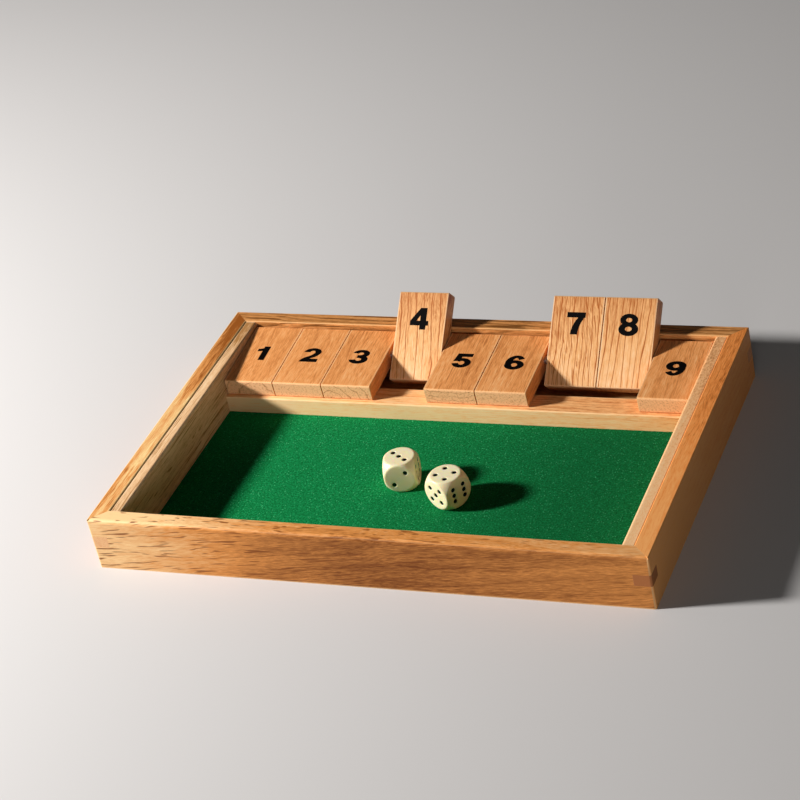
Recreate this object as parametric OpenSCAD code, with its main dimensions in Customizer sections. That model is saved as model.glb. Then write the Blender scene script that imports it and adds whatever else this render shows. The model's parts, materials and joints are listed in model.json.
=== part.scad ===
// Shut the box game: a shallow mitred wooden tray with a felted playing field, nine number
// tiles that flip on one steel rod, and two dice. Millimetres, +Z up. +X runs along the row
// of tiles from 1 to 9, +Y points from the playing field to the tiles, and the origin is
// under the middle of the tray.

/* [Tiles] */
// Width of one number tile
tile_w = 26.7; // [20:0.1:34]
// Length of one number tile
tile_l = 46.5; // [40:0.5:60]
// Thickness of one number tile
tile_t = 9; // [7:0.25:11]
// Radius of the edges across a tile's two ends
tile_r = 1; // [0.4:0.1:2]
// Distance from a tile's tail end to the rod's axis
tail_l = 14.1; // [11:0.1:16]
// Usual gap between one tile and the next
tile_gap = 0.6; // [0.2:0.1:1]
// Wide gap before tiles 4 and 7, where the free play gathers
wide_gap = 2.3; // [0.2:0.1:4]
// Gap between tile 9 and the right liner
end_gap = 0.9; // [0.2:0.1:3]
// How far a lying tile's head drops below level
head_drop = 2.4; // [1:0.1:5]

/* [Pivot rod] */
// Diameter of the rod
rod_d = 4; // [3:0.25:5]
// Radial clearance of the rod in a tile's bore
tile_bore_clear = 0.08; // [0.02:0.01:0.1]
// Radial clearance of the rod in a liner's bore
liner_bore_clear = 0.05; // [0.02:0.01:0.1]
// End play of the rod at each side board
rod_end_play = 0.2; // [0.1:0.05:0.5]

/* [Tray] */
// Height of the four outer boards
box_h = 28.5; // [27:0.5:40]
// Thickness of the four outer boards
board_t = 8.75; // [7.5:0.25:12]
// Radius of the boards' eased edges
ease_r = 0.6; // [0.3:0.1:1.5]
// Radius of the front board's softer upper edge
front_r = 2; // [0.5:0.1:3]
// Radius of the tray's four upright corners
corner_r = 1; // [0.3:0.1:2]
// Front to back length of the playing field
field_d = 118.5; // [100:0.5:160]
// Clearance between a tile's swinging tail and the back board
tail_clear = 0.4; // [0.3:0.1:2]
// Clearance between a tile's swinging tail and the base board
bay_clear = 2.1; // [0.5:0.1:4]

/* [Corner keys] */
// Length of a key along each outer face
key_leg = 8.6; // [5:0.2:12]
// Height of a key
key_h = 6.2; // [3:0.1:8]
// Height of a key's underside above the table
key_z = 12.6; // [6:0.1:16]

/* [Base] */
// Thickness of the base board
base_t = 4; // [3:0.5:6]
// Width of the rebate that holds the base board
rebate_w = 4; // [3:0.25:5]
// Clearance round the base board in its rebate
base_clear = 0.1; // [0.05:0.05:0.3]
// Diameter of a panel pin
pin_d = 1.4; // [1:0.1:1.6]
// Length of a panel pin
pin_l = 11; // [8:0.5:12]
// Diameter of a panel pin's head
pin_head_d = 2.2; // [1.8:0.1:2.4]
// Thickness of a panel pin's head
pin_head_t = 0.6; // [0.4:0.1:1]
// Depth of the head's top below the base board's underside
pin_sink = 0.2; // [0.1:0.1:0.5]
// Distance from the tray's corners to the nearest pins
pin_inset = 28; // [20:1:45]

/* [Felt, ledge and liners] */
// Thickness of the felt
felt_t = 1; // [0.5:0.25:2]
// Clearance round the felt
felt_clear = 0.3; // [0.2:0.1:1]
// Front to back width of the ledge under the tiles' heads
ledge_d = 13.6; // [8:0.2:17]
// How far the ledge reaches in front of the tiles' heads
ledge_lip = 1.9; // [1:0.1:6]
// Radius of the ledge's upper front edge
ledge_r = 0.8; // [0.3:0.1:2]
// Thickness of the liner at each side
liner_t = 6.25; // [5:0.25:9]
// How far the liners stop below the boards' tops
liner_drop = 0.5; // [0.2:0.1:1.5]
// Radius of the liners' upper edges
liner_r = 1.5; // [0.3:0.1:2]

/* [Dice] */
// Distance between opposite faces of a die
die_size = 16; // [14:0.5:20]
// Radius of the flat circle on each face of a die
die_flat_r = 7.5; // [6.6:0.1:8]
// Diameter of a pip
pip_d = 2.6; // [2:0.1:2.9]
// Depth of a pip
pip_depth = 0.7; // [0.4:0.1:1]
// Depth of the enamel's surface inside a pip
enamel_sink = 0.2; // [0.1:0.05:0.3]
// Distance from a face's middle to its rows of pips
pip_step = 3.2; // [2.8:0.1:3.6]
// Left die, distance from the tray's middle line
left_die_x = -6.7; // [-60:0.1:-5]
// Left die, distance in front of the ledge
left_die_y = 52.9; // [20:0.1:80]
// Left die, angle that it is turned by
left_die_turn = 12.6; // [-90:0.1:90]
// Right die, distance from the tray's middle line
right_die_x = 21.3; // [21:0.1:60]
// Right die, distance in front of the ledge
right_die_y = 64.7; // [20:0.1:80]
// Right die, angle that it is turned by
right_die_turn = -27; // [-90:0.1:90]

/* [Hidden] */
$fn = 64;
// For tiles 1 to 9: which stand raised, and which have the wide gap before them
raised = [false, false, false, true, false, false, true, true, false];
wide_before = [false, false, false, true, false, false, true, false, false];
tile_count = len(raised);
// Gap where a loose piece lies on another
rest_gap = 0.1;
// Gap round what is set in for good: the panel pins, and the enamel in the pips
set_gap = 0.02;
// How far a cutting shape runs past the surface that it opens
over = 1;
// Panel pins along a long board and along a short board
long_pins = 4;
short_pins = 3;

wood = [0.80, 0.56, 0.33];
tile_wood = [0.84, 0.60, 0.36];
pale_wood = [0.88, 0.74, 0.55];
end_grain = [0.62, 0.40, 0.22];
felt_green = [0.03, 0.36, 0.17];
steel = [0.70, 0.70, 0.72];
ivory = [0.93, 0.87, 0.70];
black = [0.05, 0.05, 0.05];

function gap_before(n) = wide_before[n - 1] ? wide_gap : tile_gap;
function run_to(n) = n < 1 ? 0 : run_to(n - 1) + gap_before(n) + tile_w;
function spread(count, span) = [for (i = [0:count - 1]) span * (i / (count - 1) - 0.5)];

// Across the tray: tiles, liners, boards
inner_w = run_to(tile_count) + end_gap;
box_w = inner_w + 2 * liner_t + 2 * board_t;
liner_top = box_h - liner_drop;
function tile_x(n) = run_to(n) - tile_w / 2 - inner_w / 2;

// Front to back: field, ledge, tiles, room for the tails
head_l = tile_l - tail_l;
sweep_r = norm([tail_l - tile_r, tile_t / 2 - tile_r]) + tile_r;
box_d = 2 * board_t + field_d + ledge_lip + head_l + sweep_r + tail_clear;
back_in = box_d / 2 - board_t;
rod_y = back_in - sweep_r - tail_clear;
ledge_front = rod_y - head_l - ledge_lip;

// Heights: the rod clears the tails above the base, the ledge carries the heads
rod_z = base_t + sweep_r + bay_clear;
ledge_top = rod_z - tile_t / 2 - head_drop;

// Angle of a lying tile, whose lower head edge meets the ledge
head_reach = head_l - tile_r;
half_core = tile_t / 2 - tile_r;
lie_drop = rod_z - ledge_top - tile_r - rest_gap;
lie_angle = asin(lie_drop / norm([head_reach, half_core])) - atan2(half_core, head_reach);
// Angle of a raised tile, which leans on the back board's inner top edge
edge_y = back_in + ease_r - rod_y;
edge_z = box_h - ease_r - rod_z;
lean_angle = atan2(edge_z, edge_y) + asin((tile_t / 2 + ease_r + rest_gap) / norm([edge_y, edge_z]));
raise_angle = lean_angle - 180;

rod_l = inner_w + 2 * liner_t - 2 * rod_end_play;
die_z = base_t + felt_t + rest_gap + die_size / 2;
die_ball_r = norm([die_size / 2, die_flat_r]);
pip_ball_r = (pow(pip_d / 2, 2) + pow(pip_depth, 2)) / (2 * pip_depth);

// Runs a section drawn in Y and Z along X
module along_x(length) {
    rotate([90, 0, 90]) linear_extrude(height = length, center = true) children();
}

// What rounding takes off a corner at the origin, with the wood to the left and below
module corner_waste(r) {
    difference() {
        translate([-r, -r]) square(r + over);
        translate([-r, -r]) circle(r);
    }
}

// Rectangle from the origin, with a radius for each corner from the lower left round to the upper left
module eased_rect(w, h, radii) {
    corners = [[0, 0, 180], [w, 0, 270], [w, h, 0], [0, h, 90]];
    difference() {
        square([w, h]);
        for (i = [0:3])
            if (radii[i] > 0)
                translate([corners[i][0], corners[i][1]]) rotate(corners[i][2]) corner_waste(radii[i]);
    }
}

// Board along X with its outer face at y = -reach, mitred at both ends and rebated for the base
module mitred_board(length, reach, outer_r) {
    inner_half = length / 2 - board_t;
    translate([0, -reach, 0]) difference() {
        intersection() {
            along_x(length + 2 * over) eased_rect(board_t, box_h, [0, 0, ease_r, outer_r]);
            translate([0, 0, -over]) linear_extrude(box_h + 2 * over)
                polygon([[-length / 2 - over, -over], [length / 2 + over, -over],
                    [inner_half - over, board_t + over], [-inner_half + over, board_t + over]]);
        }
        along_x(length + 4 * over) translate([board_t - rebate_w, -over])
            square([rebate_w + over, base_t + over]);
        for (side = [0, 1]) mirror([side, 0, 0]) translate([-length / 2, 0, 0]) {
            translate([0, 0, key_z]) key_cut();
            translate([0, 0, -over]) linear_extrude(box_h + 2 * over) rotate(180) corner_waste(corner_r);
        }
    }
}

// Slot sawn across a mitre, for a corner at the origin with the wood behind and to the right
module key_cut() {
    linear_extrude(key_h)
        polygon([[key_leg + over, -over], [-over, key_leg + over], [-over, -over]]);
}

module corner_key(right, back) {
    color(end_grain) mirror([right, 0, 0]) mirror([0, back, 0])
        translate([-box_w / 2, -box_d / 2, key_z]) linear_extrude(key_h) difference() {
            polygon([[0, 0], [key_leg, 0], [0, key_leg]]);
            rotate(180) corner_waste(corner_r);
        }
}

module front_board() {
    color(wood) difference() {
        mitred_board(box_w, box_d / 2, front_r);
        pin_holes();
    }
}

module back_board() {
    color(wood) difference() {
        rotate(180) mitred_board(box_w, box_d / 2, ease_r);
        pin_holes();
    }
}

// Side board, turned to the left side by -90 or to the right side by 90
module side_board(turn) {
    color(wood) difference() {
        rotate(turn) mitred_board(box_d, box_w / 2, ease_r);
        pin_holes();
    }
}

// Places a shape at each panel pin, in the middle of the rebate
module at_pins() {
    long_y = box_d / 2 - board_t + rebate_w / 2;
    short_x = box_w / 2 - board_t + rebate_w / 2;
    for (side = [-1, 1]) {
        for (x = spread(long_pins, box_w - 2 * pin_inset)) translate([x, side * long_y, 0]) children();
        for (y = spread(short_pins, box_d - 2 * pin_inset)) translate([side * short_x, y, 0]) children();
    }
}

// A panel pin standing on its head. Its hole is wider by gap and opens downwards through a mouth
module pin(gap = 0, mouth = 0) {
    translate([0, 0, pin_sink]) cylinder(d = pin_d + 2 * gap, h = pin_l + gap);
    translate([0, 0, pin_sink - mouth]) cylinder(d = pin_head_d + 2 * gap, h = pin_head_t + mouth);
}

module pin_holes() {
    at_pins() pin(set_gap, pin_sink + over);
}

module base_pins() {
    color(steel) at_pins() pin();
}

module base_board() {
    inset = board_t - rebate_w + base_clear;
    color(pale_wood) difference() {
        translate([inset - box_w / 2, inset - box_d / 2, 0])
            cube([box_w - 2 * inset, box_d - 2 * inset, base_t]);
        pin_holes();
    }
}

module felt_pad() {
    length = field_d - 2 * felt_clear;
    width = inner_w - 2 * felt_clear;
    color(felt_green) translate([-width / 2, ledge_front - field_d + felt_clear, base_t])
        cube([width, length, felt_t]);
}

module tile_ledge() {
    color(pale_wood) translate([0, ledge_front, base_t])
        along_x(inner_w) eased_rect(ledge_d, ledge_top - base_t, [0, 0, 0, ledge_r]);
}

// Liner at the right side, or mirrored to the left side, with the bore for the rod's end
module liner(left) {
    length = box_d - 2 * board_t;
    color(pale_wood) mirror([left, 0, 0]) difference() {
        translate([inner_w / 2, length / 2, base_t]) rotate([90, 0, 0])
            linear_extrude(length) eased_rect(liner_t, liner_top - base_t, [0, 0, ease_r, liner_r]);
        translate([inner_w / 2 - over, rod_y, rod_z]) rotate([0, 90, 0])
            cylinder(d = rod_d + 2 * liner_bore_clear, h = liner_t + 2 * over);
    }
}

module pivot_rod() {
    color(steel) translate([0, rod_y, rod_z]) rotate([0, 90, 0])
        cylinder(d = rod_d, h = rod_l, center = true);
}

// Number tile n: lying, its head points to the front and rests on the ledge
module number_tile(n) {
    turn = raised[n - 1] ? raise_angle : lie_angle;
    color(tile_wood) translate([tile_x(n), rod_y, rod_z]) rotate([turn, 0, 0]) difference() {
        along_x(tile_w) translate([-head_l, -tile_t / 2])
            eased_rect(tile_l, tile_t, [tile_r, tile_r, tile_r, tile_r]);
        rotate([0, 90, 0]) cylinder(d = rod_d + 2 * tile_bore_clear, h = tile_w + 2 * over, center = true);
    }
}

// Where the pips of each number sit on a face, in steps from its middle
pip_spots = [
    [[0, 0]],
    [[-1, -1], [1, 1]],
    [[-1, 1], [0, 0], [1, -1]],
    [[-1, -1], [-1, 1], [1, -1], [1, 1]],
    [[-1, -1], [-1, 1], [0, 0], [1, -1], [1, 1]],
    [[-1, -1], [-1, 0], [-1, 1], [1, -1], [1, 0], [1, 1]]
];

// Places a shape at every pip of a die, in the plane of its face. The numbers on top, on the
// front and on the right are given, and opposite faces add up to 7
module at_pips(top, front, right) {
    faces = [[top, [0, 0, 0]], [7 - top, [180, 0, 0]], [front, [90, 0, 0]],
        [7 - front, [-90, 0, 0]], [right, [90, 0, 90]], [7 - right, [90, 0, -90]]];
    for (face = faces)
        rotate(face[1]) for (spot = pip_spots[face[0] - 1])
            translate([spot[0] * pip_step, spot[1] * pip_step, die_size / 2]) children();
}

// The ball that presses one pip into a face at z = 0
module pip_ball(gap = 0) {
    translate([0, 0, pip_ball_r - pip_depth]) sphere(pip_ball_r - gap);
}

module die(top, front, right) {
    color(ivory) difference() {
        intersection() {
            cube(die_size, center = true);
            sphere(die_ball_r);
        }
        at_pips(top, front, right) pip_ball();
    }
}

module die_pips(top, front, right) {
    color(black) at_pips(top, front, right) intersection() {
        pip_ball(set_gap);
        translate([-pip_d, -pip_d, -2 * pip_depth]) cube([2 * pip_d, 2 * pip_d, 2 * pip_depth - enamel_sink]);
    }
}

module place_left_die() {
    translate([left_die_x, ledge_front - left_die_y, die_z]) rotate(left_die_turn) children();
}

module place_right_die() {
    translate([right_die_x, ledge_front - right_die_y, die_z]) rotate(right_die_turn) children();
}

front_board();
back_board();
side_board(-90);  // left_board
side_board(90);  // right_board
corner_key(0, 0);  // corner_key_front_left
corner_key(1, 0);  // corner_key_front_right
corner_key(0, 1);  // corner_key_back_left
corner_key(1, 1);  // corner_key_back_right
base_board();
base_pins();
felt_pad();
tile_ledge();
liner(1);  // left_liner
liner(0);  // right_liner
pivot_rod();
for (n = [1:tile_count]) number_tile(n);
place_left_die() die(3, 2, 6);  // die_left
place_left_die() die_pips(3, 2, 6);  // die_left_pips
place_right_die() die(4, 5, 6);  // die_right
place_right_die() die_pips(4, 5, 6);  // die_right_pips
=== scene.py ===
import json
import math

import bmesh
import bpy
from mathutils import Euler, Matrix, Vector
from mathutils.geometry import delaunay_2d_cdt


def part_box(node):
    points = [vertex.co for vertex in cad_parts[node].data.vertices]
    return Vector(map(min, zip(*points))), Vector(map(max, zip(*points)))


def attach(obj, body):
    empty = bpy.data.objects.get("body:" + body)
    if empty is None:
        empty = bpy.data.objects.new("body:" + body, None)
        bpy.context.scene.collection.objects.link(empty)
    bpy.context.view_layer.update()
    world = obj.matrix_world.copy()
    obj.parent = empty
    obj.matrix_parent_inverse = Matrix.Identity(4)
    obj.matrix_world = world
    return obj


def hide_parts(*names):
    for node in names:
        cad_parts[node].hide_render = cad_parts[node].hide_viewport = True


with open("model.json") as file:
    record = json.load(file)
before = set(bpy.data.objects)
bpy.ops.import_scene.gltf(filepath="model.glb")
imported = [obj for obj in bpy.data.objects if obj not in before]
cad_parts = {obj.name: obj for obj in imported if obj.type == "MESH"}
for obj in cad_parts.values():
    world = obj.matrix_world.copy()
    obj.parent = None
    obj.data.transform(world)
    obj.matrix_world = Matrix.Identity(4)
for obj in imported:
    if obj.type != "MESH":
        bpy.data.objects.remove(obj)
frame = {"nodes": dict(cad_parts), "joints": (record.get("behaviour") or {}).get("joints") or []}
NODES = frame["nodes"]
JOINTS = {joint["child"]: joint for joint in frame["joints"]}
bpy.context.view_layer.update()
MM = 0.001
TRAY_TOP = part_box("front_board")[1].z

# Sizes of the tiles and dice in mm, the same as in the CAD
TILE_L = 46.5
TILE_T = 9.0
HEAD_L = 32.4
DIE_FLAT_R = 7.5
PIP_STEP = 3.2
PIP_R = 1.3
PIP_DEPTH = 0.7

# The photograph's view, of 800 by 800 pixels: lengths in mm, angles in degrees, distance in m
SENSOR = 36.0
LENS = 112.1
AZIMUTH = 27.37
ELEVATION = 32.24
ROLL = -12.92
TARGET = Vector((-31.48, 43.90, 10.0)) * MM
DISTANCE = 1.26

# The lamp stands to the left, its light falling at about 28 degrees, and a low fill in front.
# Places and sizes are in metres, powers in watts
LAMP_PLACE = Vector((-1.087, -0.37, 0.611))
LAMP_SIZE = 0.16
LAMP_POWER = 29.0
FILL_PLACE = Vector((0.5, -1.35, 0.22))
FILL_SIZE = 0.5
FILL_POWER = 4.8
AMBIENT = 0.035

# Bevels of the wooden pieces, in mm
BOARD_EDGE = 0.15
KEY_EDGE = 0.1
BASE_EDGE = 0.2
TILE_EDGE = 0.35
STEEL_EDGE = 0.05

# Length that a change of tone along the grain is spread over, in mm
TINT_SPAN = 300.0


def linear(red, green, blue):
    """A colour given as it looks on screen, from 0 to 255, as the shaders take it."""
    def channel(value):
        value = value / 255
        return value / 12.92 if value <= 0.04045 else ((value + 0.055) / 1.055) ** 2.4
    return (channel(red), channel(green), channel(blue), 1.0)


def add_camera():
    azimuth = math.radians(AZIMUTH)
    elevation = math.radians(ELEVATION)
    roll = math.radians(ROLL)
    level = math.cos(elevation)
    back = Vector((math.sin(azimuth) * level, -math.cos(azimuth) * level, math.sin(elevation)))
    right = Vector((math.cos(azimuth), math.sin(azimuth), 0))
    up = back.cross(right)
    rolled_right = right * math.cos(roll) + up * math.sin(roll)
    rolled_up = back.cross(rolled_right)
    turn = Matrix((rolled_right, rolled_up, back)).transposed().to_4x4()
    lens = bpy.data.cameras.new("camera")
    lens.sensor_width = SENSOR
    lens.lens = LENS
    lens.clip_start = 0.01
    camera = bpy.data.objects.new("camera", lens)
    bpy.context.scene.collection.objects.link(camera)
    camera.matrix_world = Matrix.Translation(TARGET + back * DISTANCE) @ turn
    bpy.context.scene.camera = camera


def add_lamp(name, place, size, power):
    lamp = bpy.data.lights.new(name, "AREA")
    lamp.shape = "DISK"
    lamp.size = size
    lamp.energy = power
    holder = bpy.data.objects.new(name, lamp)
    bpy.context.scene.collection.objects.link(holder)
    holder.location = place
    holder.rotation_euler = place.to_track_quat("Z", "Y").to_euler()


def add_world():
    world = bpy.data.worlds.new("studio")
    bpy.context.scene.world = world
    world.use_nodes = True
    background = world.node_tree.nodes["Background"]
    background.inputs["Color"].default_value = (1.0, 1.0, 1.0, 1.0)
    background.inputs["Strength"].default_value = AMBIENT


class Graph:
    """Short ways to build one material's nodes. A value is a number or another node's output."""

    def __init__(self, name):
        self.material = bpy.data.materials.new(name)
        self.material.use_nodes = True
        self.nodes = self.material.node_tree.nodes
        self.links = self.material.node_tree.links
        self.shader = self.nodes["Principled BSDF"]

    def node(self, kind, inputs, **settings):
        made = self.nodes.new("ShaderNode" + kind)
        for key, value in settings.items():
            setattr(made, key, value)
        for key, value in inputs.items():
            self.feed(made.inputs[key], value)
        return made

    def feed(self, socket, value):
        if isinstance(value, bpy.types.NodeSocket):
            self.links.new(value, socket)
        else:
            socket.default_value = value

    def set(self, **values):
        """Sets the shader's own sockets, such as Base_Color."""
        for key, value in values.items():
            self.feed(self.shader.inputs[key.replace("_", " ")], value)

    def math(self, operation, *values):
        return self.node("Math", dict(enumerate(values)), operation=operation).outputs[0]

    def vector(self, operation, *values):
        made = self.node("VectorMath", dict(enumerate(values)), operation=operation)
        single = operation in ("LENGTH", "DOT_PRODUCT")
        return made.outputs["Value" if single else "Vector"]

    def object_spot(self, place=(0, 0, 0), turn=(0, 0, 0)):
        """Millimetres in a frame that is fixed to the piece."""
        where = self.node("TexCoord", {}).outputs["Object"]
        scale = (MM, MM, MM)
        inputs = {"Vector": where, "Location": place, "Rotation": turn, "Scale": scale}
        return self.node("Mapping", inputs, vector_type="TEXTURE").outputs[0]

    def noise(self, spot, size, detail=2.0, roughness=0.5):
        """Noise from 0 to 1. size is the size of its blobs in mm, in each direction."""
        cells = self.vector("DIVIDE", spot, size)
        inputs = {"Vector": cells, "Scale": 1.0, "Detail": detail, "Roughness": roughness}
        return self.node("TexNoise", inputs).outputs[0]

    def smooth(self, value, low, high, start=0.0, end=1.0):
        """Goes smoothly from start to end as value goes from low to high."""
        inputs = {0: value, 1: low, 2: high, 3: start, 4: end}
        return self.node("MapRange", inputs, interpolation_type="SMOOTHSTEP").outputs[0]

    def mix(self, share, a, b, blend="MIX"):
        inputs = {0: share, 6: a, 7: b}
        return self.node("Mix", inputs, data_type="RGBA", blend_type=blend).outputs[2]

    def ramp(self, value, *stops):
        """A colour ramp with stops of (position, colour)."""
        made = self.node("ValToRGB", {0: value})
        points = made.color_ramp.elements
        while len(points) < len(stops):
            points.new(0.5)
        for point, (position, colour) in zip(points, stops):
            point.position = position
            point.color = colour
        return made.outputs[0]

    def bump(self, height, depth):
        """Raises the surface by height times depth, in mm."""
        normal = self.node("Bump", {"Height": height, "Distance": depth * MM, "Strength": 1.0}).outputs[0]
        self.set(Normal=normal)


def grain_turn(along, across):
    """Rotation of a frame whose X runs along the grain, and Y across the piece's wide face."""
    along = Vector(along).normalized()
    depth = along.cross(Vector(across)).normalized()
    return Matrix((along, depth.cross(along), depth)).transposed().to_euler()


# What every wood has: sizes in mm, and how strongly each feature shows, from 0 to 1
PLAIN_WOOD = {
    # Half the piece's size and the turn of its box, for the painted highlight along its edges
    "half": (0.0, 0.0, 0.0),
    "box_turn": Euler((0, 0, 0)),
    "edge_show": 0.55,
    # Side to side bend of the fibres, and the length that it takes
    "wave": 1.5,
    "wave_length": 60.0,
    # Growth rings: where the pith runs, how fast it leans away, and the rings' spacing and width
    "pith": (9.0, -22.0),
    "cone": 0.02,
    "ring_gap": 4.0,
    "ring_width": 0.5,
    "ring_show": 0.1,
    # Size and strength of the fine fibres, the longer streaks and the broad drift of colour
    "fibre": (5.0, 0.5, 0.5),
    "fibre_show": 0.9,
    "streak": (45.0, 1.4, 1.4),
    "streak_show": 0.35,
    "drift_show": 0.35,
    # Fine dark veins, broken along their length
    "vein": (20.0, 0.9, 0.9),
    "vein_show": 0.0,
    # Change of tone along the grain, as places and values: painted light and shade on the side boards,
    # liners, ledge and raised tiles, partly painted light on the front board, and the corner keys' own
    # tone
    "tint": ((-150.0, 0.0), (150.0, 0.0)),
    # A side of the piece with painted light or shade: which side, how much paler or darker it is painted,
    # and how much of the change along the grain it keeps
    "side": (0.0, 0.0, 1.0),
    "side_painted_light": 0.0,
    "side_tint": 1.0,
    # Short dark rays: their size and strength, and from where along the grain to where they
    # fade, and to what share
    "fleck": (16.0, 1.05, 1.05),
    "fleck_show": 0.0,
    "fleck_fade": (200.0, 300.0, 0.0),
    # Rings as lines on the end grain: their spacing and strength
    "end_gap": 5.0,
    "end_show": 0.5,
    "roughness": 0.48,
}


def edge_share(g, spot, half):
    """1 within a hair of an edge of a box with the given half sizes, and 0 on its faces."""
    sides = g.node("SeparateXYZ", {0: g.vector("ABSOLUTE", spot)}).outputs
    a, b, c = (g.math("SUBTRACT", size, side) for size, side in zip(half, sides))
    # A spot near an edge is near two faces, so the second least distance counts
    nearer = g.math("MINIMUM", a, b)
    farther = g.math("MAXIMUM", a, b)
    second = g.math("MAXIMUM", nearer, g.math("MINIMUM", farther, c))
    return g.smooth(second, 0.3, 0.8, 1.0, 0.0)


def wood(name, place, turn, seed, colours, **changes):
    """Lacquered wood with its grain along X of a frame at place, rotated by turn."""
    look = {**PLAIN_WOOD, **changes}
    dark, middle, pale, fleck_colour, end_colour = colours
    g = Graph(name)
    spot = g.object_spot(place, turn)
    shifted = g.vector("ADD", spot, (seed * 61.7, seed * 13.3, seed * 7.9))

    # Fibres wander a little from side to side
    wander = g.math("SUBTRACT", g.noise(shifted, (look["wave_length"], 12.0, 12.0), 1.0), 0.5)
    sway = g.math("MULTIPLY", wander, 4 * look["wave"])
    sway_vector = g.node("CombineXYZ", {1: sway, 2: sway}).outputs[0]
    bent = g.vector("ADD", shifted, sway_vector)

    # Growth rings round the pith, which leans a little away from the board's length
    along = g.node("SeparateXYZ", {0: spot}).outputs[0]
    parts = g.node("SeparateXYZ", {0: g.vector("ADD", spot, sway_vector)}).outputs
    flat = g.node("CombineXYZ", {0: 0.0, 1: parts[1], 2: parts[2]}).outputs[0]
    radius = g.vector("LENGTH", g.vector("SUBTRACT", flat, (0.0, *look["pith"])))
    leaning = g.math("MULTIPLY_ADD", along, look["cone"], radius)
    uneven = g.noise(shifted, (70.0, 7.0, 7.0), 2.0)
    turns = g.math("DIVIDE", leaning, look["ring_gap"])
    ring = g.math("FRACT", g.math("MULTIPLY_ADD", uneven, 1.5, turns))
    # A ring darkens slowly over its width, and ends sharply
    darkest = 0.92
    slow = g.smooth(ring, darkest - look["ring_width"], darkest)
    late = g.math("MULTIPLY", slow, g.smooth(ring, darkest, 1.0, 1.0, 0.0))

    fibre = g.noise(bent, look["fibre"], 3.0, 0.65)
    streak = g.noise(bent, look["streak"], 3.0, 0.55)
    drift = g.noise(shifted, (70.0, 14.0, 14.0), 2.0)
    vein = g.smooth(g.noise(bent, look["vein"], 1.0), 0.56, 0.68)
    broken = g.math("MULTIPLY", late, g.smooth(streak, 0.3, 0.55, 0.35, 1.0))

    # The tone, from -0.5 to 0.5, is the change along the grain, painted light and shade on most pieces,
    # with each layer on top
    stops = [(at / TINT_SPAN + 0.5, (value + 0.5,) * 3 + (1.0,)) for at, value in look["tint"]]
    tint = g.math("SUBTRACT", g.ramp(g.math("MULTIPLY_ADD", along, 1 / TINT_SPAN, 0.5), *stops), 0.5)
    facing = g.node("TexCoord", {}).outputs["Normal"]
    towards = g.vector("DOT_PRODUCT", facing, look["side"])
    tone = g.math("MULTIPLY", tint, g.smooth(towards, 0.6, 0.95, 1.0, look["side_tint"]))
    for layer, show in ((fibre, "fibre_show"), (streak, "streak_show"), (drift, "drift_show")):
        tone = g.math("MULTIPLY_ADD", g.math("SUBTRACT", layer, 0.5), look[show], tone)
    # Painted light: one side of the piece is made paler or darker for the light that falls on it
    tone = g.math("ADD", tone, g.smooth(towards, 0.6, 0.95, 0.0, look["side_painted_light"]))
    tone = g.math("MULTIPLY_ADD", broken, -look["ring_show"], tone)
    tone = g.math("MULTIPLY_ADD", vein, -look["vein_show"], tone)
    colour = g.ramp(g.math("ADD", tone, 0.5), (0.1, dark), (0.5, middle), (0.9, pale))

    # Short dark rays that taper at both ends
    fleck = g.smooth(g.noise(bent, look["fleck"], 1.0), 0.59, 0.68)
    fade_from, fade_to, left_over = look["fleck_fade"]
    shown = g.smooth(along, fade_from, fade_to, look["fleck_show"], left_over)
    fleck = g.math("MULTIPLY", fleck, shown)
    colour = g.mix(fleck, colour, fleck_colour)

    # Cut across the grain the wood is speckled, and its rings are thin curved lines
    grain = Vector((1, 0, 0))
    grain.rotate(turn)
    cut = g.smooth(g.math("ABSOLUTE", g.vector("DOT_PRODUCT", facing, tuple(grain))), 0.75, 0.95)
    speckle = g.noise(shifted, (0.9, 0.9, 0.9), 2.0, 0.7)
    ripple = g.math("MULTIPLY", g.noise(shifted, (3.0, 3.0, 3.0), 2.0), 0.5)
    line = g.math("FRACT", g.math("ADD", ripple, g.math("DIVIDE", radius, look["end_gap"])))
    fall = g.smooth(line, 0.9, 0.97, look["end_show"], 0.0)
    line = g.math("MULTIPLY", g.smooth(line, 0.78, 0.9), fall)
    end_tone = g.math("SUBTRACT", g.smooth(speckle, 0.2, 0.55), line)
    end_grain = g.mix(g.math("MULTIPLY_ADD", end_tone, 0.6, 0.4), dark, end_colour)
    colour = g.mix(cut, colour, end_grain)

    # Painted highlight: the wood turns pale along the piece's edges, where the arrises catch the light
    box_spot = g.object_spot(place, look["box_turn"])
    edge_highlight = g.math("MULTIPLY", edge_share(g, box_spot, look["half"]), look["edge_show"])
    colour = g.mix(edge_highlight, colour, pale)

    g.set(Base_Color=colour, Specular_IOR_Level=0.3)
    least = look["roughness"] - 0.06
    g.set(Roughness=g.smooth(fibre, 0.3, 0.7, least, least + 0.12))
    g.bump(g.math("SUBTRACT", fibre, fleck), 0.03)
    return g.material


def soften(piece, width):
    """Bevels a piece's sharp edges by width, in mm, and keeps its faces flat."""
    weld = piece.modifiers.new("weld", "WELD")
    weld.merge_threshold = 0.001 * MM
    merge = piece.modifiers.new("merge", "DECIMATE")
    merge.decimate_type = "DISSOLVE"
    merge.angle_limit = math.radians(0.5)
    bevel = piece.modifiers.new("bevel", "BEVEL")
    bevel.width = width * MM
    bevel.segments = 2
    bevel.limit_method = "ANGLE"
    bevel.angle_limit = math.radians(35)
    normals = piece.modifiers.new("normals", "WEIGHTED_NORMAL")
    normals.keep_sharp = True


def dress(node, material, width):
    """Gives a carried-over piece its material and softened edges."""
    piece = NODES[node]
    piece.data.materials.clear()
    piece.data.materials.append(material)
    soften(piece, width)


def box_middle(node):
    low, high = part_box(node)
    return (low + high) / 2


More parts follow.
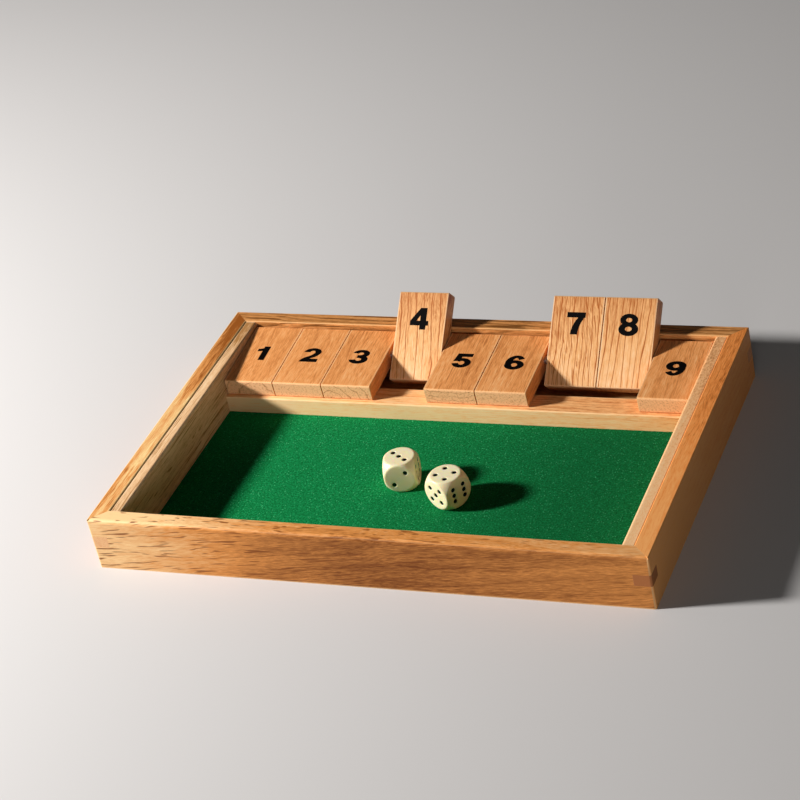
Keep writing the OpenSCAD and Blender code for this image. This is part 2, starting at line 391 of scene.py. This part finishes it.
def dress_wood(node, turn, seed, colours, width, **look):
    """Dresses a piece that stands square in the tray."""
    low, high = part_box(node)
    look = {"half": tuple((high - low) / 2 / MM), **look}
    dress(node, wood(node + "_wood", box_middle(node), turn, seed, colours, **look), width)


# Colours of each wood: dark, middle, pale, the rays, the end grain
FRONT_COLOURS = (linear(124, 64, 12), linear(226, 147, 74), linear(255, 208, 148),
                 linear(128, 66, 16), linear(240, 190, 136))
LEFT_COLOURS = (linear(150, 82, 24), linear(226, 150, 80), linear(250, 216, 150),
                linear(150, 82, 30), linear(244, 196, 140))
RIGHT_COLOURS = (linear(160, 82, 24), linear(244, 148, 72), linear(255, 178, 104),
                 linear(150, 82, 30), linear(240, 190, 136))
BACK_COLOURS = (linear(120, 72, 26), linear(210, 140, 76), linear(244, 188, 124),
                linear(110, 60, 20), linear(236, 186, 130))
LINER_COLOURS = (linear(176, 124, 70), linear(240, 194, 144), linear(252, 226, 184),
                 linear(164, 108, 54), linear(244, 208, 160))
ROSY_COLOURS = (linear(186, 120, 66), linear(250, 186, 126), linear(255, 208, 154),
                linear(164, 108, 54), linear(244, 208, 160))
LEDGE_COLOURS = (linear(206, 124, 62), linear(255, 190, 124), linear(255, 214, 158),
                 linear(164, 108, 54), linear(244, 208, 160))
KEY_COLOURS = (linear(176, 108, 60), linear(226, 152, 100), linear(244, 190, 136),
               linear(140, 80, 36), linear(244, 174, 122))
PLY_COLOURS = (linear(176, 130, 78), linear(218, 178, 124), linear(236, 206, 158),
               linear(150, 104, 60), linear(196, 150, 98))
LYING_COLOURS = (linear(160, 86, 32), linear(238, 158, 90), linear(254, 206, 148),
                 linear(150, 80, 32), linear(255, 194, 140))
RAISED_COLOURS = (linear(176, 96, 34), linear(240, 178, 114), linear(254, 216, 168),
                  linear(170, 96, 40), linear(246, 196, 140))


# What sets each of the tray's woods apart
FRONT_LOOK = {
    # Partly the wood's own drift and partly painted light: pale at the left end, near the lamp, and
    # darkest near the middle
    "tint": ((-150.0, 0.42), (-122.0, 0.32), (-95.0, 0.14), (-75.0, 0.02), (-45.0, -0.17),
             (-5.0, -0.27), (60.0, -0.2), (130.0, -0.1)),
    # Painted light: the top is painted paler than the front face
    "side_painted_light": 0.24,
    "fleck_show": 0.85,
    "fleck_fade": (-30.0, 110.0, 0.4),
    "ring_gap": 7.0,
    "pith": (40.0, 60.0),
    "fibre_show": 0.7,
    "streak_show": 0.2,
    "drift_show": 0.2,
}
BACK_LOOK = {
    "ring_gap": 3.0,
    "ring_show": 0.3,
    "pith": (16.0, 12.0),
    "cone": 0.05,
    "vein": (40.0, 1.2, 1.2),
    "vein_show": 0.45,
    "streak_show": 0.6,
}
LEFT_LOOK = {
    # Painted shade: the board darkens towards its back end
    "tint": ((-90.0, 0.1), (10.0, 0.2), (45.0, -0.1), (80.0, -0.42)),
    # Painted shade: the outer face, which faces the lamp, is painted darker, and keeps none of the
    # painted shade along the grain
    "side": (-1.0, 0.0, 0.0),
    "side_painted_light": -0.15,
    "side_tint": 0.0,
    "ring_show": 0.15,
    "vein_show": 0.25,
    "streak": (120.0, 3.5, 3.5),
    "streak_show": 1.0,
    # A strong painted highlight along its edges
    "edge_show": 0.8,
}
RIGHT_LOOK = {
    # Painted light: paler towards the front end, and the outer face, which is in shade, painted paler
    "tint": ((-90.0, 0.4), (-40.0, 0.22), (10.0, 0.0), (90.0, -0.1)),
    "side": (1.0, 0.0, 0.0),
    "side_painted_light": 0.3,
    "fibre_show": 1.2,
    "vein_show": 0.1,
}
LEFT_LINER_LOOK = {
    # Painted shade: darker towards the back end
    "tint": ((-90.0, 0.0), (20.0, 0.0), (60.0, -0.15), (85.0, -0.4)),
    "vein": (60.0, 1.0, 1.0),
    "vein_show": 0.35,
    "streak_show": 0.6,
}
RIGHT_LINER_LOOK = {
    # Painted light: paler towards the front end
    "tint": ((-90.0, 0.4), (-30.0, 0.3), (20.0, 0.08), (90.0, -0.1)),
    "fibre": (1.6, 0.8, 0.8),
    "fibre_show": 1.3,
}
LEDGE_LOOK = {
    # Painted light: paler at the left end, near the lamp, darker towards the right, and the front face
    # painted paler
    "tint": ((-120.0, 0.2), (0.0, 0.1), (120.0, -0.2)),
    "side": (0.0, -1.0, 0.0),
    "side_painted_light": 0.3,
    "vein": (40.0, 0.8, 0.8),
    "vein_show": 0.2,
    "fibre_show": 1.3,
    "streak_show": 0.5,
}
BASE_LOOK = {"ring_gap": 9.0, "cone": 0.06, "ring_show": 0.3, "edge_show": 0.3}

# How much paler or darker each corner key is than its wood
KEY_TONES = {"front_left": 0.4, "front_right": -0.5, "back_left": 0.0, "back_right": 0.0}


def dress_tray():
    along_x = grain_turn((1, 0, 0), (0, 0, 1))
    along_y = grain_turn((0, 1, 0), (1, 0, 0))
    sloping = grain_turn((1, 0, 0.11), (-0.11, 0, 1))
    flat = grain_turn((1, 0, 0), (0, 1, 0))
    dress_wood("front_board", sloping, 1, FRONT_COLOURS, BOARD_EDGE, **FRONT_LOOK)
    dress_wood("back_board", along_x, 2, BACK_COLOURS, BOARD_EDGE, **BACK_LOOK)
    dress_wood("left_board", along_y, 3, LEFT_COLOURS, BOARD_EDGE, **LEFT_LOOK)
    dress_wood("right_board", along_y, 4, RIGHT_COLOURS, BOARD_EDGE, **RIGHT_LOOK)
    for seed, (corner, tone) in enumerate(KEY_TONES.items(), 5):
        # A key's grain runs across the corner that it ties
        slant = 1 if corner in ("front_right", "back_left") else -1
        across = grain_turn((1, slant, 0), (0, 0, 1))
        tint = ((-150.0, tone), (150.0, tone))
        dress_wood("corner_key_" + corner, across, seed, KEY_COLOURS, KEY_EDGE, edge_show=0.0, tint=tint)
    dress_wood("left_liner", along_y, 10, LINER_COLOURS, BOARD_EDGE, **LEFT_LINER_LOOK)
    dress_wood("right_liner", along_y, 11, ROSY_COLOURS, BOARD_EDGE, **RIGHT_LINER_LOOK)
    dress_wood("tile_ledge", along_x, 12, LEDGE_COLOURS, BOARD_EDGE, **LEDGE_LOOK)
    dress_wood("base_board", flat, 13, PLY_COLOURS, BASE_EDGE, **BASE_LOOK)


def tile_frame(number):
    """Place of the rod's axis in the tile, the tile's X, Y and Z with its head towards -Y, and
    whether it stands raised."""
    node = f"tile_{number}"
    rod = Vector(JOINTS[node]["pos_m"])
    widest = max(NODES[node].data.polygons, key=lambda face: face.area * (abs(face.normal.x) < 0.5))
    up = widest.normal.copy()
    up.x = 0
    up.normalize()
    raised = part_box(node)[1].z > TRAY_TOP + 5 * MM
    # The face that looks up when the tile lies looks down when it stands
    if (up.z > 0) == raised:
        up.negate()
    side = Vector((1, 0, 0))
    return rod, Matrix((side, up.cross(side), up)).transposed(), raised


# What sets each tile's wood apart
TILE_LOOKS = {
    1: {"pith": (3.5, -8.0), "end_gap": 7.0, "end_show": 0.8},
    2: {"pith": (-20.0, -30.0), "end_show": 0.15},
    3: {"pith": (-9.0, -7.0), "end_gap": 4.5, "end_show": 1.0, "vein_show": 0.1},
    4: {"vein_show": 0.2, "vein": (30.0, 0.7, 0.7), "ring_gap": 4.2, "ring_show": 0.5, "ring_width": 0.13,
        "wave": 2.0, "wave_length": 30.0, "pith": (-70.0, 20.0), "cone": 0.05},
    5: {"pith": (2.0, 30.0), "end_gap": 2.6, "end_show": 1.0, "vein_show": 0.12},
    6: {"pith": (-12.0, 25.0), "end_gap": 3.0, "end_show": 0.3, "vein_show": 0.12},
    7: {"vein_show": 0.4, "vein": (16.0, 0.6, 0.6), "wave": 1.6, "wave_length": 36.0, "ring_gap": 2.5,
        "ring_show": 0.65, "ring_width": 0.16, "pith": (-50.0, 16.0), "cone": -0.1},
    8: {"ring_gap": 3.3, "ring_show": 0.6, "ring_width": 0.12, "wave": 0.4, "pith": (60.0, 12.0),
        "vein_show": 0.12},
    9: {"pith": (14.0, 16.0), "end_gap": 2.2, "end_show": 0.3, "vein_show": 0.1},
}
# Angle of a tile's grain to its length, in degrees
TILE_LEAN = {7: -8.0}
# Painted light along the tiles that stand raised in the photograph: paler at the lower end, and painted
# shade towards the upper end, which leans back
RAISED_PAINTED_LIGHT = ((-20.0, 0.12), (0.0, 0.0), (22.0, -0.2))


def dress_tiles():
    for number, look in TILE_LOOKS.items():
        rod, axes, raised = tile_frame(number)
        node = f"tile_{number}"
        grain_lean_and_felt_shade = math.radians(TILE_LEAN.get(number, 0.0))
        along = axes @ Vector((math.sin(grain_lean_and_felt_shade), -math.cos(grain_lean_and_felt_shade), 0))
        turn = grain_turn(along, axes @ Vector((math.cos(grain_lean_and_felt_shade), math.sin(grain_lean_and_felt_shade), 0)))
        low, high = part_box(node)
        half = ((high.x - low.x) / MM / 2, TILE_L / 2, TILE_T / 2)
        look = {"half": half, "box_turn": axes.to_euler(), **look}
        # Raised tiles get painted shade towards their upper end
        if raised:
            look["tint"] = RAISED_PAINTED_LIGHT
        colours = RAISED_COLOURS if raised else LYING_COLOURS
        place = rod + axes @ Vector((0, (TILE_L / 2 - HEAD_L) * MM, 0))
        dress(node, wood(node + "_wood", place, turn, 20 + number, colours, **look), TILE_EDGE)


# Height of a numeral and thickness of its ink, in mm
DIGIT_H = 11.4
INK_T = 0.05


def arc(centre, radii, start, end, steps=24):
    """Points on an ellipse from one angle to another, in degrees."""
    angles = [math.radians(start + (end - start) * i / steps) for i in range(steps + 1)]
    return [(centre[0] + radii[0] * math.cos(a), centre[1] + radii[1] * math.sin(a)) for a in angles]


def bow(start, pull, end, steps=12):
    """Points on a curve from start to end, drawn towards pull."""
    made = []
    for i in range(steps + 1):
        t = i / steps
        made.append(tuple((1 - t) ** 2 * a + 2 * t * (1 - t) * b + t * t * c
                          for a, b, c in zip(start, pull, end)))
    return made


def band(centre, outer, inner, start, end, eye=None):
    """Part of a ring between an outer and an inner ellipse, as simple pieces of at most half a turn."""
    eye = eye or centre
    pieces = []
    while start < end:
        stop = min(start + 180, end)
        pieces.append(arc(centre, outer, start, stop) + arc(eye, inner, stop, start))
        start = stop
    return pieces


def half_turn(strokes):
    """The strokes upside down, as a 6 makes a 9."""
    return [[(-x, DIGIT_H - y) for x, y in stroke] for stroke in strokes]


# Heavy numerals as overlapping strokes, in mm, with x from the middle and y from the foot
SIX = [
    *band((0, 5.7), (5.1, 5.7), (1.7, 3.6), 34, 270),
    *band((0, 3.75), (5.1, 3.75), (1.65, 1.4), -180, 180),
]
DIGITS = {
    1: [
        [(-0.1, 0), (3.3, 0), (3.3, DIGIT_H), (-0.1, DIGIT_H)],
        bow((1.2, DIGIT_H), (0.4, 9.4), (-3.0, 9.3)) + bow((-3.0, 7.2), (-1.1, 7.2), (0.6, 8.0)),
    ],
    2: [
        *band((0.1, 7.95), (4.8, 3.45), (1.5, 1.3), -35, 178),
        bow((1.33, 7.2), (0.6, 5.5), (-2.0, 4.1)) + bow((-2.0, 4.1), (-4.8, 2.5), (-5.0, 0)) + [(0, 0)]
        + bow((0.0, 2.5), (0.6, 3.1), (2.0, 3.8)) + bow((2.0, 3.8), (3.5, 4.7), (4.03, 5.97)),
        [(-5.0, 0), (4.9, 0), (4.9, 2.6), (-3.6, 2.6)],
    ],
    3: [
        *band((0.1, 8.2), (4.7, 3.2), (1.45, 1.05), -90, 172),
        *band((0, 3.5), (5.1, 3.5), (1.6, 1.1), -172, 90),
        [(-1.4, 4.7), (0.7, 4.7), (0.7, 7.0), (-1.4, 7.0)],
    ],
    4: [
        [(0.5, 0), (3.8, 0), (3.8, DIGIT_H), (0.5, DIGIT_H)],
        [(-4.9, 2.1), (5.1, 2.1), (5.1, 4.6), (-4.9, 4.6)],
        [(-4.9, 4.5), (-1.6, 4.5), (0.7, 7.8), (0.7, DIGIT_H), (0.3, DIGIT_H)],
    ],
    5: [
        [(-3.1, 8.8), (4.6, 8.8), (4.6, DIGIT_H), (-3.6, DIGIT_H)],
        [(-4.6, 5.0), (-1.4, 5.4), (-0.6, 9.2), (-3.6, DIGIT_H)],
        *band((0.1, 3.85), (5.0, 3.85), (1.65, 1.5), -172, 145),
    ],
    6: SIX,
    7: [
        [(-4.8, 8.7), (4.8, 8.7), (4.8, DIGIT_H), (-4.8, DIGIT_H)],
        bow((4.8, 9.4), (1.6, 5.4), (1.3, 0)) + bow((-2.4, 0), (-2.0, 5.2), (1.3, 9.0)),
    ],
    8: [
        *band((0, 8.2), (4.6, 3.2), (1.6, 1.1), -180, 180, (0, 8.15)),
        *band((0, 3.5), (5.1, 3.5), (1.75, 1.2), -180, 180, (0, 3.6)),
    ],
    9: half_turn(SIX),
}


def counter_clockwise(points):
    """The outline's points in the order that puts its inside on the left."""
    area = sum(a[0] * b[1] - b[0] * a[1] for a, b in zip(points, points[1:] + points[:1]))
    return points if area > 0 else points[::-1]


def ink_mesh(number):
    """A numeral's strokes joined into one outline, and given the ink's thickness."""
    points, faces = [], []
    for stroke in DIGITS[number]:
        faces.append(list(range(len(points), len(points) + len(stroke))))
        points += [Vector(point) for point in counter_clockwise(stroke)]
    where, _, triangles, _, _, sources = delaunay_2d_cdt(points, [], faces, 0, 1e-4)
    flat = bmesh.new()
    corners = [flat.verts.new((point.x * MM, point.y * MM, 0)) for point in where]
    for triangle, source in zip(triangles, sources):
        if source:
            flat.faces.new([corners[i] for i in triangle])
    loose = [vertex for vertex in flat.verts if not vertex.link_faces]
    bmesh.ops.delete(flat, geom=loose, context="VERTS")
    bmesh.ops.recalc_face_normals(flat, faces=flat.faces)
    grown = bmesh.ops.extrude_face_region(flat, geom=list(flat.faces))["geom"]
    raised = [item for item in grown if isinstance(item, bmesh.types.BMVert)]
    bmesh.ops.translate(flat, verts=raised, vec=(0, 0, INK_T * MM))
    bmesh.ops.recalc_face_normals(flat, faces=flat.faces)
    mesh = bpy.data.meshes.new(f"numeral_{number}")
    flat.to_mesh(mesh)
    flat.free()
    return mesh


def ink():
    g = Graph("number_ink")
    spot = g.object_spot()
    mottle = g.noise(spot, (0.8, 0.8, 0.8))
    g.set(Base_Color=g.mix(mottle, linear(3, 2, 2), linear(12, 10, 9)))
    g.set(Roughness=g.smooth(mottle, 0.3, 0.7, 0.5, 0.65), Specular_IOR_Level=0.04)
    return g.material


# Where the numerals sit on a tile, from the rod's axis towards the head, and how far the
# stamp missed the middle of each tile, in mm
LYING_NUMBER = 8.6
RAISED_NUMBER = 18.2
STAMP_MISS = {1: -1.7, 2: -0.5, 3: -0.5, 4: -1.0, 5: -0.4, 6: 0.6, 7: -0.5, 8: -0.2, 9: -0.1}


def add_numbers():
    material = ink()
    for number, miss in STAMP_MISS.items():
        rod, axes, _ = tile_frame(number)
        shown = {"lying": (1, LYING_NUMBER), "raised": (-1, RAISED_NUMBER)}
        for face, (side, reach) in shown.items():
            piece = bpy.data.objects.new(f"number_{number}_{face}", ink_mesh(number))
            bpy.context.scene.collection.objects.link(piece)
            piece.data.materials.append(material)
            # On the other face the numeral's top points to the head, so it is turned over
            local = Matrix.Translation(Vector((miss, -reach, side * TILE_T / 2)) * MM)
            if side < 0:
                local = local @ Matrix.Rotation(math.pi, 4, "X")
            foot = Matrix.Translation(Vector((0, -DIGIT_H / 2, 0)) * MM)
            piece.data.transform(Matrix.Translation(rod) @ axes.to_4x4() @ local @ foot)
            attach(piece, f"tile_{number}")


def add_felt():
    """A glued sheet of felt, with its short nap standing up unevenly."""
    low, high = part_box("felt_pad")
    # Half the nap's unevenness, and the spacing of the mesh that carries it
    nap = 0.06 * MM
    step = 1.25 * MM
    columns = round((high.x - low.x) / step)
    rows = round((high.y - low.y) / step)
    sheet = bmesh.new()
    size = Matrix.Diagonal(((high.x - low.x) / 2, (high.y - low.y) / 2, 1, 1))
    centre = Matrix.Translation(((low.x + high.x) / 2, (low.y + high.y) / 2, high.z - nap))
    bmesh.ops.create_grid(sheet, x_segments=columns, y_segments=rows, size=1, matrix=centre @ size)
    for vertex in sheet.verts:
        x, y = vertex.co.x / MM, vertex.co.y / MM
        crests = math.sin(1.9 * x + 1.3 * math.sin(0.8 * y))
        rows_of_nap = math.sin(2.3 * y + math.sin(1.1 * x))
        vertex.co.z += nap * crests * rows_of_nap
    rim = [edge for edge in sheet.edges if edge.is_boundary]
    skirt = bmesh.ops.extrude_edge_only(sheet, edges=rim)["geom"]
    foot = [v for v in skirt if isinstance(v, bmesh.types.BMVert)]
    for vertex in foot:
        vertex.co.z = low.z
    under = [edge for edge in skirt if isinstance(edge, bmesh.types.BMEdge) and edge.is_boundary]
    bmesh.ops.contextual_create(sheet, geom=under)
    bmesh.ops.recalc_face_normals(sheet, faces=sheet.faces)
    mesh = bpy.data.meshes.new("felt_sheet")
    sheet.to_mesh(mesh)
    sheet.free()
    felt = bpy.data.objects.new("felt_sheet", mesh)
    bpy.context.scene.collection.objects.link(felt)
    felt.data.materials.append(felt_cloth())
    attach(felt, "tray")
    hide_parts("felt_pad")


def felt_cloth():
    g = Graph("green_felt")
    spot = g.object_spot()
    fluff = g.noise(spot, (0.8, 0.8, 0.8), 3.0, 0.75)
    greens = ((0.28, linear(2, 78, 32)), (0.5, linear(10, 122, 62)), (0.72, linear(34, 166, 98)))
    colour = g.ramp(fluff, *greens)
    # Here and there a pale fibre catches the light
    cells = g.vector("DIVIDE", spot, (1.2, 1.2, 1.2))
    hairs = g.node("TexVoronoi", {"Vector": cells, "Scale": 1.0}).outputs
    bright = g.smooth(g.node("SeparateColor", {0: hairs["Color"]}).outputs[0], 0.4, 0.95)
    hair = g.math("MULTIPLY", bright, g.smooth(hairs["Distance"], 0.08, 0.35, 1.0, 0.0))
    colour = g.mix(g.math("MULTIPLY", hair, 0.8), colour, linear(90, 206, 140))
    # Painted shade: the cloth darkens towards the right, away from the lamp
    grain_lean_and_felt_shade = g.smooth(g.node("SeparateXYZ", {0: spot}).outputs[0], -50.0, 95.0, 0.0, 0.42)
    colour = g.mix(grain_lean_and_felt_shade, colour, linear(4, 20, 8))
    g.set(Base_Color=colour, Roughness=0.95, Specular_IOR_Level=0.05)
    g.set(Sheen_Weight=0.03, Sheen_Roughness=0.5, Sheen_Tint=linear(90, 200, 130))
    g.bump(fluff, 0.15)
    return g.material


def soft_least(a, b, blend):
    """The lesser of two lengths, with the corner between them rounded over blend."""
    share = min(1.0, max(0.0, 0.5 + 0.5 * (b - a) / blend))
    return b * (1 - share) + a * share - blend * share * (1 - share)


# Pips on a face, in steps from its middle
PIP_SPOTS = {
    1: [(0, 0)],
    2: [(-1, -1), (1, 1)],
    3: [(-1, 1), (0, 0), (1, -1)],
    4: [(-1, -1), (-1, 1), (1, -1), (1, 1)],
    5: [(-1, -1), (-1, 1), (0, 0), (1, -1), (1, 1)],
    6: [(-1, -1), (-1, 0), (-1, 1), (1, -1), (1, 0), (1, 1)],
}
# Squares along a die's side, how far its cut edges are rounded, and what counts as one point
DIE_CELLS = 80
DIE_BLEND = 0.5
DIE_WELD = 0.01


def die_mesh(name, place, turn, top, front, right):
    """A die turned from a ball and a cube, with a dimple for each pip."""
    low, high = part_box(name)
    half = (high.z - low.z) / 2 / MM
    ball = math.hypot(half, DIE_FLAT_R)
    # A pip is a cap of this radius, sunk into the face
    dimple = (PIP_R ** 2 + PIP_DEPTH ** 2) / (2 * PIP_DEPTH)
    quarter = math.pi / 2
    faces = {
        (0, 0, 0): top,
        (math.pi, 0, 0): 7 - top,
        (quarter, 0, 0): front,
        (-quarter, 0, 0): 7 - front,
        (quarter, 0, quarter): right,
        (quarter, 0, -quarter): 7 - right,
    }
    body = bmesh.new()
    for angles, value in faces.items():
        face_turn = Euler(angles).to_matrix()
        grid = []
        for row in range(DIE_CELLS + 1):
            for column in range(DIE_CELLS + 1):
                u = 2 * column / DIE_CELLS - 1
                v = 2 * row / DIE_CELLS - 1
                aim = Vector((u, v, 1))
                point = aim * (soft_least(half * aim.length, ball, DIE_BLEND) / aim.length)
                for spot in PIP_SPOTS[value]:
                    away = math.hypot(point.x - spot[0] * PIP_STEP, point.y - spot[1] * PIP_STEP)
                    if away < PIP_R:
                        point.z -= math.sqrt(dimple ** 2 - away ** 2) - dimple + PIP_DEPTH
                grid.append(body.verts.new(place + turn @ face_turn @ point * MM))
        for row in range(DIE_CELLS):
            for column in range(DIE_CELLS):
                first = row * (DIE_CELLS + 1) + column
                body.faces.new([grid[first], grid[first + 1], grid[first + DIE_CELLS + 2],
                                grid[first + DIE_CELLS + 1]])
    bmesh.ops.remove_doubles(body, verts=body.verts, dist=DIE_WELD * MM)
    for face in body.faces:
        face.smooth = True
    mesh = bpy.data.meshes.new(name + "_body")
    body.to_mesh(mesh)
    body.free()
    return mesh


def ivory():
    g = Graph("ivory_plastic")
    cloud = g.noise(g.object_spot(), (9.0, 9.0, 9.0), 2.0)
    g.set(Base_Color=g.mix(cloud, linear(255, 233, 180), linear(255, 240, 202)))
    g.set(Roughness=0.28, Specular_IOR_Level=0.5)
    g.set(Subsurface_Weight=0.3, Subsurface_Scale=2.5 * MM, Subsurface_Radius=(1.0, 0.5, 0.12))
    return g.material


def enamel():
    g = Graph("black_enamel")
    cloud = g.noise(g.object_spot(), (1.5, 1.5, 1.5))
    g.set(Base_Color=g.mix(cloud, linear(10, 9, 9), linear(22, 20, 20)), Roughness=0.15)
    return g.material


def side_turn(node):
    """Rotation about Z of a piece whose largest upright face is taken as its right side."""
    sums = {}
    for face in NODES[node].data.polygons:
        if abs(face.normal.z) < 0.1:
            key = round(math.degrees(math.atan2(face.normal.y, face.normal.x)), 1)
            sums[key] = sums.get(key, 0) + face.area
    near = {key: area for key, area in sums.items() if abs(key) < 45}
    return math.radians(max(near, key=near.get))


def add_dice():
    plastic = ivory()
    black = enamel()
    for name, values in {"die_left": (3, 2, 6), "die_right": (4, 5, 6)}.items():
        turn = Matrix.Rotation(side_turn(name), 3, "Z")
        mesh = die_mesh(name, box_middle(name), turn, *values)
        die = bpy.data.objects.new(name + "_body", mesh)
        bpy.context.scene.collection.objects.link(die)
        die.data.materials.append(plastic)
        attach(die, name)
        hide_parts(name)
        pips = NODES[name + "_pips"]
        pips.data.materials.clear()
        pips.data.materials.append(black)


def steel():
    g = Graph("drawn_steel")
    spot = g.object_spot()
    drawn = g.noise(spot, (12.0, 0.15, 0.15), 2.0)
    g.set(Base_Color=g.mix(drawn, (0.45, 0.45, 0.46, 1), (0.66, 0.66, 0.67, 1)), Metallic=1.0)
    g.set(Roughness=g.smooth(drawn, 0.3, 0.7, 0.25, 0.42))
    return g.material


def add_floor():
    # Half its side, in metres
    size = 12.0
    mesh = bpy.data.meshes.new("floor")
    corners = [(-size, -size, 0), (size, -size, 0), (size, size, 0), (-size, size, 0)]
    mesh.from_pydata(corners, [], [(0, 1, 2, 3)])
    floor = bpy.data.objects.new("floor", mesh)
    bpy.context.scene.collection.objects.link(floor)
    g = Graph("pale_floor")
    rays = g.node("LightPath", {}).outputs
    bent = g.math("MAXIMUM", rays["Is Glossy Ray"], rays["Is Transmission Ray"])
    seen = g.math("MAXIMUM", rays["Is Camera Ray"], bent)
    # Pale where it is seen, and greyer in the light that it throws back on the object
    g.set(Base_Color=g.mix(seen, (0.3, 0.3, 0.3, 1), linear(212, 208, 205)))
    g.set(Roughness=0.9, Specular_IOR_Level=0.1)
    mesh.materials.append(g.material)


add_camera()
add_lamp("lamp", LAMP_PLACE, LAMP_SIZE, LAMP_POWER)
add_lamp("fill", FILL_PLACE, FILL_SIZE, FILL_POWER)
add_world()
add_floor()
dress_tray()
dress_tiles()
drawn_steel = steel()
for name in ("pivot_rod", "base_pins"):
    dress(name, drawn_steel, STEEL_EDGE)
add_numbers()
add_felt()
add_dice()

bpy.context.scene.view_settings.view_transform = "Standard"
